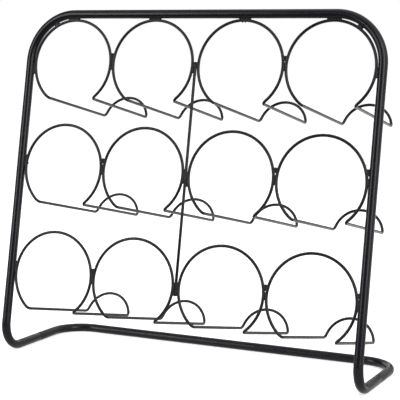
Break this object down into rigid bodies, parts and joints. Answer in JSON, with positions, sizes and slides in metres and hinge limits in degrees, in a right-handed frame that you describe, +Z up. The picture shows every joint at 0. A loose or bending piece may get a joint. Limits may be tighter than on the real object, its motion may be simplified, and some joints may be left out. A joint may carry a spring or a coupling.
{
  "type": "wine rack",
  "caption": "Free-standing wire wine rack: a leaning tube hoop on a U-shaped floor base, with rows of bent-wire cradles, each a front ring, two rails and a rear arch.",
  "frame": {"origin": "on the floor, under the middle of the whole rack's width and depth", "axes": "+X to the right across the rack's width, +Y to the back, +Z up; the bottles go in from the -Y side"},
  "size_m": [0.4188, 0.1896, 0.3779],
  "materials": {
    "tube": "semi-gloss black powder coat over steel tube",
    "wire": "satin black powder coat over steel wire",
    "weld": "uneven weld bead under the same black powder coat"
  },
  "bodies": {
    "root": {"front_hoop": "tube", "rear_base": "tube", "centre_rod": "wire", "cradle_top_1": "wire", "cradle_top_2": "wire", "cradle_top_3": "wire", "cradle_top_4": "wire", "cradle_middle_1": "wire", "cradle_middle_2": "wire", "cradle_middle_3": "wire", "cradle_middle_4": "wire", "cradle_bottom_1": "wire", "cradle_bottom_2": "wire", "cradle_bottom_3": "wire", "cradle_bottom_4": "wire", "weld_top_left_leg": "weld", "weld_top_1_2": "weld", "weld_top_rod": "weld", "weld_top_3_4": "weld", "weld_top_right_leg": "weld", "weld_middle_left_leg": "weld", "weld_middle_1_2": "weld", "weld_middle_rod": "weld", "weld_middle_3_4": "weld", "weld_middle_right_leg": "weld", "weld_bottom_left_leg": "weld", "weld_bottom_1_2": "weld", "weld_bottom_rod": "weld", "weld_bottom_3_4": "weld", "weld_bottom_right_leg": "weld", "weld_corner_left": "weld", "weld_bar_1": "weld", "weld_bar_2": "weld", "weld_bar_3": "weld", "weld_bar_4": "weld", "weld_corner_right": "weld"}
  },
  "joints": []
}
